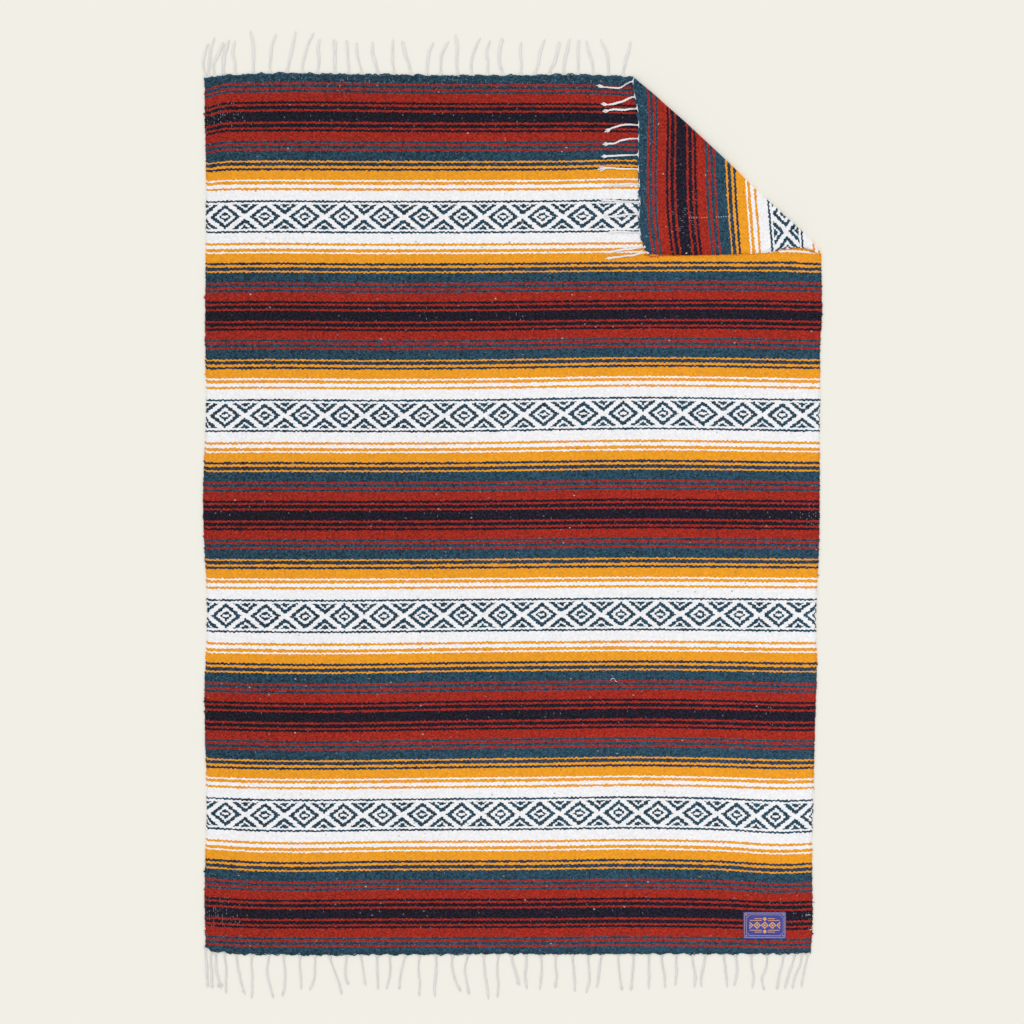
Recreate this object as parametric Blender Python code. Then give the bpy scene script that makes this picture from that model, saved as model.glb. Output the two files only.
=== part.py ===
"""Serape blanket laid out flat, with its top right corner turned back over the face.

Metres, +Z up. The cloth lies on z = 0 and its top end points to +Y. A place on the cloth
is given as if no corner was turned: x from the left selvedge, y from the bottom end.
The origin is under the middle of the laid-out blanket, fringe included.
"""

import math
from collections import namedtuple

import bmesh
import bpy
from mathutils import Vector

MM = 0.001

# Woven cloth, before its corner is turned.
WIDTH_TOP = 1211 * MM
WIDTH_BOTTOM = 1190 * MM
LENGTH = 1719 * MM
WALL = 3.0 * MM
COLUMNS = 36
ROWS = 48
SEAM = 0.4 * MM  # clear gap between two pieces that meet

# Middle of the laid-out blanket, from the straight left selvedge and bottom end.
MIDDLE = Vector((603.2, 858.2)) * MM

# How far each edge strays out of its straight line, in millimetres.
Stray = namedtuple("Stray", "at out")
TOP_EDGE = [
    Stray(0, -3), Stray(50, 2), Stray(110, 5), Stray(170, 6), Stray(245, 4), Stray(350, 3),
    Stray(455, -1), Stray(580, 0), Stray(735, 2), Stray(838, -1), Stray(860, 2),
    Stray(920, -3), Stray(1054, 6), Stray(1159, 11), Stray(1190, 7), Stray(1211, -1),
]
BOTTOM_EDGE = [
    Stray(0, -8), Stray(30, -3), Stray(62, 3), Stray(150, 4), Stray(250, 5), Stray(400, 4),
    Stray(600, 3), Stray(1000, 3), Stray(1165, 3), Stray(1200, 1), Stray(1211, -1),
]
LEFT_EDGE = [
    Stray(0, -1), Stray(94, 1), Stray(280, -3), Stray(496, 1), Stray(653, -4), Stray(878, 4),
    Stray(1074, -2), Stray(1221, 0), Stray(1466, -2), Stray(1719, 1),
]
RIGHT_EDGE = [
    Stray(0, -2), Stray(45, 1), Stray(221, -2), Stray(349, 0), Stray(574, 3), Stray(650, 0),
    Stray(809, 5), Stray(1074, 3), Stray(1192, 2), Stray(1250, 5), Stray(1374, 2),
    Stray(1405, -6), Stray(1440, -5), Stray(1490, 2), Stray(1612, 4), Stray(1719, 1),
]

# Turned corner: the fold runs from the top edge to the right selvedge.
FOLD_TOP = 838 * MM  # where it leaves the top edge
FOLD_SIDE = 1374 * MM  # where it leaves the right selvedge
TURNED_CORNER = Vector((871, 1370)) * MM  # where the corner comes to lie
FOLD_RADIUS = 3.0 * MM  # of the wall's middle, round the fold
FOLD_STEPS = 6
FOLD_RELAX = 45 * MM  # stretch over which the flap comes down on the cloth
FOLD_BOW = [
    Stray(0, 0), Stray(70, 3), Stray(150, 5), Stray(250, 5), Stray(340, 3), Stray(400, 4),
    Stray(460, 5), Stray(507, 0),
]
BOW_FADE = 120 * MM  # stretch on either side of the fold that its bow pulls along
FADE_STEPS = 6

# Label sewn on near the bottom right corner.
LABEL_MIDDLE = Vector((1097.5, 54.8)) * MM
LABEL_WIDTH = 84 * MM
LABEL_HEIGHT = 53 * MM
LABEL_WALL = 0.9 * MM
LABEL_CORNER = 1.5 * MM

# Fringe: knotted warp ends. A strand's near, far and tip are its sideways shifts at a third,
# two thirds and all of its length; tuft is the width of its frayed end. Millimetres.
Strand = namedtuple("Strand", "root near far tip long tuft wide", defaults=(6, 3.8))
TOP_STRANDS = [
    Strand(6, 0, 3, 14, 76, 8, 8), Strand(21, -2, 9, 26, 73, 9), Strand(38, -1, 1, 3, 50),
    Strand(62, -2, -5, -1, 64), Strand(97, 0, -1, -6, 81), Strand(129, 1, 4, 12, 74),
    Strand(163, 6, 11, 17, 79), Strand(192, 4, 11, 23, 77), Strand(222, 3, 1, 5, 65),
    Strand(256, 0, 1, -1, 65, 9), Strand(284, -2, -3, -4, 64, 7), Strand(309, -5, -10, -10, 59),
    Strand(341, -6, -11, -11, 61), Strand(372, -3, -3, -2, 67), Strand(406, -6, -14, -18, 64, 7),
    Strand(436, 2, 5, 13, 62), Strand(464, -1, 3, 14, 64), Strand(496, -1, 0, -4, 77),
    Strand(524, -1, 6, 17, 71), Strand(555, 1, -2, 6, 66), Strand(585, -7, -6, -1, 70, 9),
    Strand(620, 1, -1, 1, 62), Strand(647, 8, 12, 20, 67, 5), Strand(676, 9, 15, 20, 62, 7),
    Strand(704, 2, 7, 12, 68, 5), Strand(732, 0, 0, 2, 66), Strand(763, -3, -10, -15, 64),
    Strand(792, -1, -5, -16, 67), Strand(820, 4, 10, 15, 66),
]
CORNER_STRANDS = [
    Strand(850, 13, 12, 8, 69), Strand(883, 9, 14, 14, 66, 8), Strand(908, 1, 1, 5, 64, 7),
    Strand(940, -1, 3, 14, 60, 7), Strand(968, 1, 9, 11, 66, 9), Strand(1001, 1, 2, 4, 69, 8),
    Strand(1033, -1, -2, 0, 76, 9), Strand(1064, 0, 2, 4, 69), Strand(1101, -1, -2, -3, 75),
    Strand(1127, 1, 5, 4, 67), Strand(1165, -1, -1, 0, 61), Strand(1196, 4, 7, 12, 80),
    Strand(1207, 6, 9, 13, 86),
]
BOTTOM_STRANDS = [
    Strand(5, 1, 2, 2, 70, 5), Strand(14, 0, 0, 0, 68, 5), Strand(23, 1, 4, 12, 66, 8),
    Strand(40, 4, 3, 3, 78), Strand(64, 3, 7, 15, 76, 5), Strand(93, 0, 1, 0, 83, 5),
    Strand(126, -3, 3, 8, 82, 5), Strand(155, 2, 2, -3, 79, 5), Strand(187, -1, 2, 2, 64, 4),
    Strand(216, 0, -2, -11, 66, 5), Strand(245, 9, 18, 24, 74, 5), Strand(278, -2, -2, 4, 55, 7),
    Strand(306, 4, 7, 9, 56), Strand(338, 1, 1, 2, 64), Strand(363, 1, -1, -7, 64, 4),
    Strand(394, -7, -11, -12, 65, 7), Strand(421, -2, 1, -1, 78, 5), Strand(454, 0, -2, -3, 79, 5),
    Strand(486, 0, 6, 17, 70, 7), Strand(516, -6, -2, 3, 76, 7), Strand(547, 2, 7, 10, 85),
    Strand(576, -2, 0, -1, 83, 5), Strand(602, 5, 10, 15, 57, 10), Strand(631, 0, -2, 2, 65),
    Strand(660, 2, 0, -2, 66), Strand(689, 0, 2, -1, 63, 8), Strand(722, 2, 4, 5, 70, 5),
    Strand(752, 3, 3, -3, 72, 5), Strand(779, -3, -6, -9, 62), Strand(812, 1, 4, 8, 68, 7),
    Strand(842, -1, -3, -5, 68, 7), Strand(873, -1, -1, -1, 65, 5), Strand(897, 3, 6, 8, 62),
    Strand(926, 0, 0, -2, 58), Strand(957, 3, 6, 5, 61), Strand(983, -3, -8, -8, 61),
    Strand(1020, 2, 4, 6, 61, 4), Strand(1042, 4, 2, -3, 59, 5), Strand(1074, 1, 4, 1, 63),
    Strand(1105, -3, -11, -6, 68, 5), Strand(1137, -5, -10, -13, 67, 7),
    Strand(1159, -7, -14, -20, 64, 5), Strand(1173, -5, -14, -19, 65, 5),
    Strand(1185, -5, -10, -13, 63, 5),
]
STRAND_HEIGHT = 2.6 * MM
ROOT_WIDTH = 7 * MM
STRIP_WIDTH = 2.5 * MM  # row of knots along the edge, which carries the strands
STRIP_END = 4 * MM  # how far it runs past its first and last root
FLOOR_GAP = 0.4 * MM

# Sections of a strand: share of its length, how much of its tuft it has, and its height.
Section = namedtuple("Section", "share tuft height")
SECTIONS = [
    Section(0.12, 0.0, 1.0), Section(0.28, 0.0, 1.0), Section(0.45, 0.0, 1.0),
    Section(0.62, 0.0, 1.0), Section(0.78, 0.3, 1.0), Section(0.91, 1.0, 1.0),
    Section(1.0, 0.6, 0.6),
]


def ease(share):
    """Step from 0 to 1 that starts and stops softly."""
    share = min(max(share, 0.0), 1.0)
    return share * share * (3 - 2 * share)


def stray(table, place):
    """Outward stray at a place, eased from row to row of its table."""
    at = min(max(place / MM, table[0].at), table[-1].at)
    for start, end in zip(table, table[1:]):
        if at <= end.at:
            break
    return (start.out + (end.out - start.out) * ease((at - start.at) / (end.at - start.at))) * MM


def edge_stray(table, share, length, cells):
    """Stray of a panel edge, which runs straight from one cell corner to the next."""
    cell = min(int(share * cells), cells - 1)
    start = stray(table, length * cell / cells)
    end = stray(table, length * (cell + 1) / cells)
    return start + (end - start) * (share * cells - cell)


def on_cloth(across, along):
    """Flat place of a point, from its shares of the cloth's width and length."""
    width = WIDTH_BOTTOM + (WIDTH_TOP - WIDTH_BOTTOM) * along
    left = edge_stray(LEFT_EDGE, along, LENGTH, ROWS)
    right = edge_stray(RIGHT_EDGE, along, LENGTH, ROWS)
    top = edge_stray(TOP_EDGE, across, WIDTH_TOP, COLUMNS)
    bottom = edge_stray(BOTTOM_EDGE, across, WIDTH_TOP, COLUMNS)
    x = across * (width + right) - (1 - across) * left
    y = along * (LENGTH + top) - (1 - along) * bottom
    return Vector((x, y))


# Line where the cloth starts to turn over, and the way the flap runs back from it.
fold_start = Vector((FOLD_TOP, LENGTH))
fold_end = Vector((WIDTH_BOTTOM + (WIDTH_TOP - WIDTH_BOTTOM) * FOLD_SIDE / LENGTH, FOLD_SIDE))
fold_along = (fold_end - fold_start).normalized()
fold_out = Vector((-fold_along.y, fold_along.x))
turn_start = fold_start - fold_out * (FOLD_RADIUS + WALL / 2)
turn_length = math.pi * FOLD_RADIUS
corner_offset = Vector((WIDTH_TOP, LENGTH)) - turn_start
corner_foot = turn_start + fold_along * corner_offset.dot(fold_along)
flap_run = (TURNED_CORNER - corner_foot) / (corner_offset.dot(fold_out) - turn_length)


def lay_flat(place, lift=0.0):
    """Point at a flat place, lift above the middle of the wall that lies on the floor."""
    return Vector((place.x - MIDDLE.x, place.y - MIDDLE.y, WALL / 2 + lift))


def lay(place, lift=0.0):
    """The same on the cloth as it lies, past the fold turned over with it."""
    offset = place - turn_start
    along = offset.dot(fold_along)
    past = offset.dot(fold_out)
    over = past - turn_length
    bow = fold_out * stray(FOLD_BOW, along)
    if past <= 0:
        return lay_flat(place + bow * (1 - ease(-past / BOW_FADE)), lift)
    foot = turn_start + fold_along * along
    if over < 0:
        angle = past / FOLD_RADIUS
        radius = FOLD_RADIUS - lift
        spot = foot + bow + fold_out * radius * math.sin(angle)
        return lay_flat(spot, FOLD_RADIUS - radius * math.cos(angle))
    spot = foot + flap_run * over + bow * (1 - ease(over / BOW_FADE))
    rest = WALL + SEAM
    return lay_flat(spot, rest + (2 * FOLD_RADIUS - rest) * (1 - ease(over / FOLD_RELAX)) - lift)


def add_piece(collection, name, bm, color, roughness):
    """Object made from a closed bmesh, with a material of its own."""
    bmesh.ops.recalc_face_normals(bm, faces=bm.faces)
    mesh = bpy.data.meshes.new(name)
    bm.to_mesh(mesh)
    bm.free()
    material = bpy.data.materials.new(name)
    material.use_nodes = True
    shader = material.node_tree.nodes["Principled BSDF"]
    shader.inputs["Base Color"].default_value = (*color, 1)
    shader.inputs["Roughness"].default_value = roughness
    shader.inputs["Metallic"].default_value = 0
    mesh.materials.append(material)
    piece = bpy.data.objects.new(name, mesh)
    collection.objects.link(piece)
    return piece


def woven_panel():
    """The whole cloth as one wall, cut across at the fold so that it can turn there."""
    bm = bmesh.new()
    bmesh.ops.create_grid(bm, x_segments=COLUMNS, y_segments=ROWS, size=0.5)
    for vert in bm.verts:
        vert.co = on_cloth(vert.co.x + 0.5, vert.co.y + 0.5).to_3d()
    turns = [turn_length * step / FOLD_STEPS for step in range(FOLD_STEPS + 1)]
    fades = [turn_length + BOW_FADE * step / FADE_STEPS for step in range(1, FADE_STEPS + 1)]
    for past in turns + fades:
        cut = turn_start + fold_out * past
        bmesh.ops.bisect_plane(
            bm, geom=bm.verts[:] + bm.edges[:] + bm.faces[:], dist=0.00001,
            plane_co=cut.to_3d(), plane_no=fold_out.to_3d(),
        )
    bmesh.ops.remove_doubles(bm, verts=bm.verts, dist=0.3 * MM)
    bmesh.ops.triangulate(bm, faces=bm.faces)
    wall = bmesh.ops.extrude_face_region(bm, geom=bm.faces[:])
    face_side = {item for item in wall["geom"] if isinstance(item, bmesh.types.BMVert)}
    for vert in bm.verts:
        vert.co = lay(vert.co.xy, WALL / 2 if vert in face_side else -WALL / 2)
    return bm


def grow(bm, face, corners):
    """Draw a face out and set its corners down in new places."""
    face = bmesh.ops.extrude_discrete_faces(bm, faces=[face])["faces"][0]
    for vert, corner in zip(face.verts, corners):
        vert.co = corner
    return face


def strand_middle(strand, share):
    """Middle of a strand at a share of its length: sideways shift and way out."""
    knots = [0, strand.near, strand.far, strand.tip]
    knots = [-knots[1] * 0.5, *knots, 2 * strand.tip - strand.far]
    span = min(int(share * 3), 2)
    t = share * 3 - span
    a, b, c, d = knots[span:span + 4]
    shift = b + t * (c - a) / 2 + t * t * (a - 2.5 * b + 2 * c - d / 2)
    shift += t * t * t * (1.5 * (b - c) + (d - a) / 2)
    return Vector((shift, strand.long * share)) * MM


def past_end(end, x, out):
    """Flat place out past the top end (1) or the bottom end (0) of the cloth."""
    width = WIDTH_TOP if end else WIDTH_BOTTOM
    return on_cloth(x / width, end) + Vector((0, out if end else -out))


def strip_stations(strands, width):
    """Places along a strip: both sides of each root, and the panel's cell corners between."""
    roots = [strand.root * MM for strand in strands]
    start, end = roots[0] - STRIP_END, roots[-1] + STRIP_END
    sides = [root + side * ROOT_WIDTH / 2 for root in roots for side in (-1, 1)]
    cells = [width * column / COLUMNS for column in range(COLUMNS + 1)]
    keep_off = ROOT_WIDTH / 2 + SEAM
    clear = [x for x in cells if start < x < end and all(abs(x - r) > keep_off for r in roots)]
    return sorted([start, end] + sides + clear)


def fringe(strands, end, put, lift):
    """Strip along an end of the cloth, with a strand drawn out of its face at each root.

    put lays a flat place down, and lift is how high the strands lie over the wall's middle.
    """
    def point(x, out, height):
        return put(past_end(end, x, out), lift + height * STRAND_HEIGHT / 2)

    bm = bmesh.new()
    corners = [(SEAM, -1), (SEAM + STRIP_WIDTH, -1), (SEAM + STRIP_WIDTH, 1), (SEAM, 1)]
    stations = strip_stations(strands, WIDTH_TOP if end else WIDTH_BOTTOM)
    rings = {stations[0]: [bm.verts.new(point(stations[0], *corner)) for corner in corners]}
    face = bm.faces.new(rings[stations[0]])
    for x in stations[1:]:
        face = grow(bm, face, [point(x, *corner) for corner in corners])
        rings[x] = face.verts[:]
    bmesh.ops.holes_fill(bm, edges=[edge for edge in bm.edges if edge.is_boundary], sides=4)

    for strand in strands:
        root = strand.root * MM
        left, right = rings[root - ROOT_WIDTH / 2], rings[root + ROOT_WIDTH / 2]
        side = {left[1]: (-1, -1), left[2]: (-1, 1), right[2]: (1, 1), right[1]: (1, -1)}
        face = bm.faces.get(list(side))
        order = [side[vert] for vert in face.verts]
        for section in SECTIONS:
            middle = strand_middle(strand, section.share)
            ahead = middle - strand_middle(strand, section.share - 0.05)
            across = Vector((ahead.y, -ahead.x)).normalized()
            width = (strand.wide + (strand.tuft - strand.wide) * section.tuft) * MM
            places = []
            for sideways, height in order:
                spot = middle + across * sideways * width / 2
                out = SEAM + STRIP_WIDTH + spot.y
                places.append(point(root + spot.x, out, height * section.height))
            face = grow(bm, face, places)
    return bm


def label():
    """Flat woven patch with small round corners, just clear of the cloth's face."""
    bm = bmesh.new()
    bmesh.ops.create_cube(bm, size=1)
    bmesh.ops.scale(bm, vec=(LABEL_WIDTH, LABEL_HEIGHT, LABEL_WALL), verts=bm.verts)
    corners = [edge for edge in bm.edges if edge.verts[0].co.xy == edge.verts[1].co.xy]
    bmesh.ops.bevel(bm, geom=corners, offset=LABEL_CORNER, affect="EDGES", segments=3, profile=0.5)
    middle = lay(LABEL_MIDDLE, WALL / 2 + SEAM + LABEL_WALL / 2)
    bmesh.ops.translate(bm, vec=middle, verts=bm.verts)
    return bm


for leftover in list(bpy.data.objects):
    bpy.data.objects.remove(leftover)

blanket = bpy.data.collections.new("serape")
bpy.context.scene.collection.children.link(blanket)

floor_lift = FLOOR_GAP + STRAND_HEIGHT / 2 - WALL / 2
add_piece(blanket, "woven_panel", woven_panel(), (0.30, 0.06, 0.04), 0.9)
add_piece(blanket, "fringe_top", fringe(TOP_STRANDS, 1, lay_flat, floor_lift),
          (0.80, 0.79, 0.76), 0.85)
add_piece(blanket, "fringe_corner", fringe(CORNER_STRANDS, 1, lay, 0.0),
          (0.80, 0.79, 0.76), 0.85)
add_piece(blanket, "fringe_bottom", fringe(BOTTOM_STRANDS, 0, lay_flat, floor_lift),
          (0.80, 0.79, 0.76), 0.85)
add_piece(blanket, "label", label(), (0.07, 0.07, 0.36), 0.7)
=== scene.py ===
"""Serape blanket laid out flat with a corner turned over: its woven cloth, fringe and label.

Metres, +Z up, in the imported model's frame. A flat place on the cloth is given as if no corner
was turned: x from the left selvedge and y from the bottom end.
"""

import math
import random
from collections import namedtuple
from functools import partialmethod
from itertools import accumulate

import bmesh
import bpy
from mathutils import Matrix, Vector


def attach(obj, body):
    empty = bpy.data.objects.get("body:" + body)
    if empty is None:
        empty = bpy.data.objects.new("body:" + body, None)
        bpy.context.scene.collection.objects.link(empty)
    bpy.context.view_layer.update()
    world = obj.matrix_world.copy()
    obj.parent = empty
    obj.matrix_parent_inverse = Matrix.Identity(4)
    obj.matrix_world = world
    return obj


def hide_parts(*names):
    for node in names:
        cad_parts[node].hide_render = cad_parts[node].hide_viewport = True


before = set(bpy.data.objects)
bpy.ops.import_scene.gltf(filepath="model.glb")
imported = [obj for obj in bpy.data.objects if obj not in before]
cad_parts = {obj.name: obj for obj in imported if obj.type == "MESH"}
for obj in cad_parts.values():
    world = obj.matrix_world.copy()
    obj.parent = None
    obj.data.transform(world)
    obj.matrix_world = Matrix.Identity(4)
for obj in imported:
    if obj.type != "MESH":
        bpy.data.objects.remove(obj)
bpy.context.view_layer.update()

MM = 0.001


# --- Woven cloth ------------------------------------------------------------------------------
# One length of thick cotton cloth off a treadle loom. Soft weft yarn is beaten down over a hidden
# white warp, and the stripes come from changing that yarn. The warp at the right selvedge and
# the top end goes over the fold, so the turned corner shows the cloth's back.

WIDTH_TOP = 1211 * MM
WIDTH_BOTTOM = 1190 * MM
LENGTH = 1719 * MM
WALL = 3.0 * MM
SEAM = 0.4 * MM
MIDDLE = Vector((603.2, 858.2)) * MM  # of the laid-out blanket, as a flat place


def table(kind, rows):
    """Rows of a table with named columns."""
    return [kind(*row) for row in rows]


Stray = namedtuple("Stray", "at out")  # how far an edge strays out of its line, millimetres
TOP_EDGE = table(Stray, [
    (0, -3), (50, 2), (110, 5), (170, 6), (245, 4), (350, 3), (455, 1), (580, 1.4), (735, 2.5),
    (838, -1), (860, 2), (920, -2), (1054, 7), (1100, 9.5), (1135, 14.5), (1160, 15.5), (1174, 14),
    (1190, 10), (1200, 7), (1211, 3),
])
BOTTOM_EDGE = table(Stray, [
    (0, -11), (7, -8), (13, -1), (30, -1), (62, 3), (150, 4), (250, 5), (400, 4), (600, 3),
    (1000, 3), (1165, 3), (1200, 1), (1211, -1),
])
LEFT_EDGE = table(Stray, [
    (0, -1), (94, 1), (280, -3), (496, 1), (653, -4), (878, 4), (1074, -2), (1221, 0), (1466, -2),
    (1719, 1),
])
RIGHT_EDGE = table(Stray, [
    (0, -2), (45, 1), (221, -2), (349, 0), (574, 3), (650, 0), (809, 5), (1074, 3), (1192, 2),
    (1250, 5), (1374, 2), (1405, -6), (1440, -5), (1490, 2), (1612, 4), (1719, 1),
])

FOLD_TOP = 838 * MM
FOLD_SIDE = 1374 * MM
TURNED_CORNER = Vector((871, 1370)) * MM
FOLD_RADIUS = 3.0 * MM
FOLD_STEPS = 10
FOLD_RELAX = 45 * MM
FOLD_BOW = table(Stray, [
    (0, 0), (70, 3), (150, 5), (250, 5), (340, 3), (400, 4), (460, 5), (507, 0),
])
BOW_FADE = 120 * MM


def ease(share):
    """Step from 0 to 1 that starts and stops softly."""
    share = min(max(share, 0.0), 1.0)
    return share * share * (3 - 2 * share)


def stray(table, place):
    """Outward stray at a place, eased from row to row of its table."""
    at = min(max(place / MM, table[0].at), table[-1].at)
    for start, end in zip(table, table[1:]):
        if at <= end.at:
            break
    return (start.out + (end.out - start.out) * ease((at - start.at) / (end.at - start.at))) * MM


def on_cloth(across, along):
    """Flat place of a point, from its shares of the cloth's width and length."""
    width = WIDTH_BOTTOM + (WIDTH_TOP - WIDTH_BOTTOM) * along
    left = stray(LEFT_EDGE, along * LENGTH)
    right = stray(RIGHT_EDGE, along * LENGTH)
    top = stray(TOP_EDGE, across * WIDTH_TOP)
    bottom = stray(BOTTOM_EDGE, across * WIDTH_TOP)
    x = across * (width + right) - (1 - across) * left
    y = along * (LENGTH + top) - (1 - along) * bottom
    return Vector((x, y))


fold_start = Vector((FOLD_TOP, LENGTH))
fold_end = Vector((WIDTH_BOTTOM + (WIDTH_TOP - WIDTH_BOTTOM) * FOLD_SIDE / LENGTH, FOLD_SIDE))
fold_along = (fold_end - fold_start).normalized()
fold_out = Vector((-fold_along.y, fold_along.x))
turn_start = fold_start - fold_out * (FOLD_RADIUS + WALL / 2)
turn_length = math.pi * FOLD_RADIUS
corner_offset = Vector((WIDTH_TOP, LENGTH)) - turn_start
corner_foot = turn_start + fold_along * corner_offset.dot(fold_along)
flap_run = (TURNED_CORNER - corner_foot) / (corner_offset.dot(fold_out) - turn_length)

# Soft ridges that the cloth keeps from its storage folds: middle on the floor, way they run,
# half length, half width and height. Millimetres and degrees.
Ridge = namedtuple("Ridge", "x y turn long wide high")
RIDGES = table(Ridge, [
    (-310, 120, 92, 420, 26, 0.9), (18, -260, 88, 480, 30, 0.8), (5, 470, 95, 240, 24, 0.6),
    (330, -120, 84, 330, 28, 0.8), (-120, -520, 8, 260, 34, 0.7), (240, -610, -6, 230, 30, 0.6),
    (-400, 560, 12, 170, 36, 0.8), (-150, 260, -14, 210, 40, 0.6), (410, 260, 172, 190, 34, 0.7),
    (60, 20, 4, 300, 30, 0.5), (-450, -330, 64, 150, 32, 0.7), (470, -480, 110, 170, 30, 0.7),
    (-230, -160, 38, 150, 30, 0.5), (180, 640, 70, 110, 26, 0.6),
])
RIDGE_WAYS = [(math.cos(math.radians(ridge.turn)), math.sin(math.radians(ridge.turn)))
              for ridge in RIDGES]
RIDGE_FADE = 90 * MM  # stretch over which they die out before the cloth's ends


def rise(spot):
    """How far the ridges lift the cloth over a spot on the floor."""
    to_end = min(MIDDLE.y - abs(spot.y), MIDDLE.x - abs(spot.x))
    if to_end <= 0:
        return 0.0
    high = 0.0
    for ridge, (cosine, sine) in zip(RIDGES, RIDGE_WAYS):
        x = spot.x / MM - ridge.x
        y = spot.y / MM - ridge.y
        run = abs(x * cosine + y * sine)
        off = abs(y * cosine - x * sine)
        if run < ridge.long and off < 3 * ridge.wide:
            high += ridge.high * ease(1 - run / ridge.long) * math.exp(-(off / ridge.wide) ** 2)
    return high * MM * ease(to_end / RIDGE_FADE)


def lay_flat(place, lift=0.0):
    """Point at a flat place, lift above the middle of the wall that lies on the floor."""
    spot = place - MIDDLE
    return Vector((spot.x, spot.y, WALL / 2 + lift + rise(spot)))


def lay(place, lift=0.0):
    """The same on the cloth as it lies, past the fold turned over with it."""
    offset = place - turn_start
    along = offset.dot(fold_along)
    past = offset.dot(fold_out)
    over = past - turn_length
    bow = fold_out * stray(FOLD_BOW, along)
    if past <= 0:
        return lay_flat(place + bow * (1 - ease(-past / BOW_FADE)), lift)
    foot = turn_start + fold_along * along
    if over < 0:
        angle = past / FOLD_RADIUS
        radius = FOLD_RADIUS - lift
        spot = foot + bow + fold_out * radius * math.sin(angle)
        return lay_flat(spot, FOLD_RADIUS - radius * math.cos(angle))
    spot = foot + flap_run * over + bow * (1 - ease(over / BOW_FADE))
    rest = WALL + SEAM
    return lay_flat(spot, rest + (2 * FOLD_RADIUS - rest) * (1 - ease(over / FOLD_RELAX)) - lift)


# Where the weft bends out of its straight line, and how far up it goes there.
Bend = namedtuple("Bend", "x y wide tall rise")  # mm
BENDS = table(Bend, [
    (870, 1080, 270, 340, 6), (850, 260, 140, 320, 3), (820, 1540, 90, 80, 3),
    (230, 480, 240, 200, -6), (180, 170, 120, 100, -3), (0, 130, 60, 230, 4),
    (1150, 180, 90, 170, -7), (1180, 490, 120, 110, -4), (130, 1250, 130, 300, 2),
    (0, 1720, 25, 180, -11), (200, 1720, 180, 110, 4), (1060, 1290, 120, 110, 2),
    (890, 1700, 90, 110, -8), (1150, 1740, 130, 130, 13),  # in the turned corner
])
WARP = 4.29 * MM  # from one warp cord to the next
PICK = 1.9485 * MM  # from one weft yarn to the next
HALF_REPEAT = 100  # picks from the middle of a black stripe to the middle of a diamond band
FIRST_BLACK = 40  # picks from the bottom end to the middle of the lowest black stripe
FIRST_PLACE = -6 * MM  # where the first and last teal picks lie, however the ends stray
LAST_PLACE = 1720.5 * MM
# How far the picks climb at the left selvedge, in CLIMBs, from one stretch of it to the next.
EDGE_CLIMB = [0, 3, 5, 2, 6, 4, 1, 5, 3, 6, 2, 4, 5, 1, 3, 6, 4, 2, 5, 3]
CLIMB = 0.6 * MM
CLIMB_STRETCH = 9 * MM


def drift(across, y):
    """How far the weft has bent up at a flat place, in metres."""
    x, y = across * WIDTH_TOP / MM, y / MM
    return MM * sum(
        bend.rise * math.exp(-((x - bend.x) / bend.wide) ** 2 - ((y - bend.y) / bend.tall) ** 2)
        for bend in BENDS
    )


def weft_place(across, along):
    """Where a point lies in the weave: across the warp and up the picks, in metres."""
    place = on_cloth(across, along)
    y = min(max(place.y - drift(across, place.y), FIRST_PLACE), LAST_PLACE)
    if across == 0:
        y -= EDGE_CLIMB[int(place.y / CLIMB_STRETCH) % len(EDGE_CLIMB)] * CLIMB
    return Vector((across * WIDTH_TOP, y))


CLOTH_COLUMNS = 172
CLOTH_ROWS = 238
EDGE_WALL = 1.6 * MM  # the cloth thins to this at its edges, where the yarn turns back
# How far inside the outline that the turning yarns draw the wall stops, from left to right and
# from bottom to top.
EDGE_IN = [(2.3 * MM, 1.3 * MM), (4.2 * MM, 3.0 * MM)]
BAKE_MARGIN = 12 * MM


def add_layers(bm):
    """Layers for a piece that follows the weave, and for its unrolled picture."""
    return bm.loops.layers.uv.new("weave"), bm.loops.layers.uv.new("OFBake")


def unroll(place):
    """Spot in the unit square for a place in the weave."""
    size = Vector((WIDTH_TOP, LENGTH)) + Vector((2, 2)) * BAKE_MARGIN
    return Vector(((place.x + BAKE_MARGIN) / size.x, (place.y + BAKE_MARGIN) / size.y))


def write_places(bm, layers, rows):
    """Gives each corner of a face the place in the weave that its vert remembers."""
    weave, picture = layers
    for face in bm.faces:
        for loop in face.loops:
            loop[weave].uv = loop.vert[rows].xy
            loop[picture].uv = unroll(loop.vert[rows])


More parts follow.
